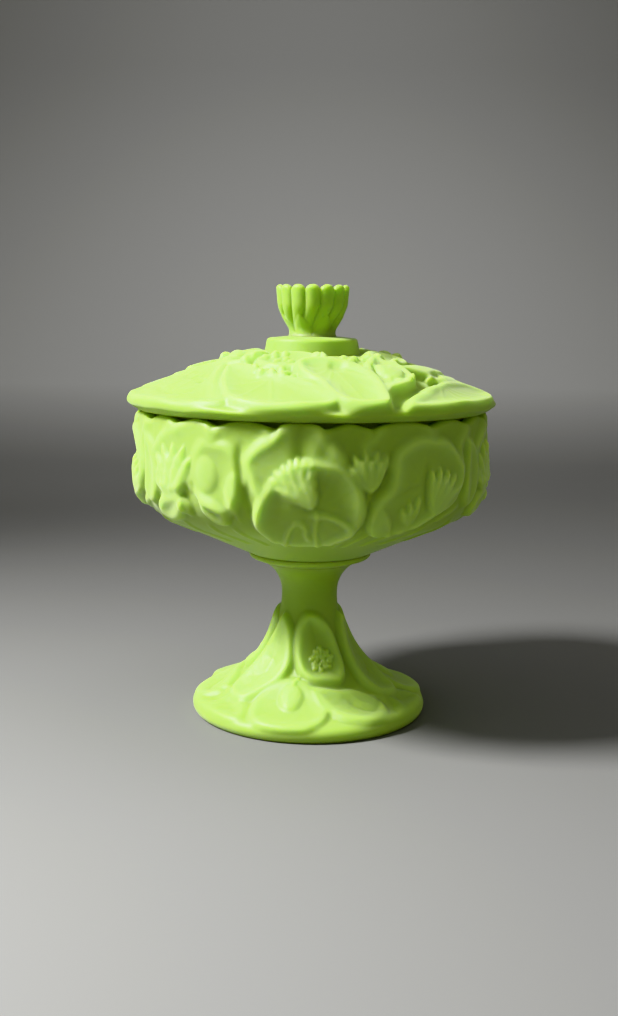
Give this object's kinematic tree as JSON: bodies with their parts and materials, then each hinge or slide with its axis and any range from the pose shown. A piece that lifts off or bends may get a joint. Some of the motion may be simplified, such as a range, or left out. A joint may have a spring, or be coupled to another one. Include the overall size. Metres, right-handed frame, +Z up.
{
  "type": "covered footed glass dish",
  "caption": "Footed round candy dish in satin lime glass with relief lily pads, a scalloped rim and a domed lift-off lid with a flower knob.",
  "frame": {"origin": "centre of the foot's base ring, on the surface it stands on", "axes": "+Z up through the stem to the knob, -Y towards the front view, +X to its right"},
  "size_m": [0.1736, 0.1736, 0.2045],
  "materials": {
    "satin_glass": "acid-etched satin, translucent lime green all through"
  },
  "bodies": {
    "base": {"pedestal_foot": "satin_glass", "stem_collar": "satin_glass", "bowl": "satin_glass"},
    "lid": {"lid": "satin_glass", "knob_disc": "satin_glass", "knob_flower": "satin_glass"}
  },
  "joints": [
    {"name": "lid_lift", "type": "slide", "parent": "base", "child": "lid", "axis": [0, 0, 1], "range_m": [0, 0.1]}
  ]
}
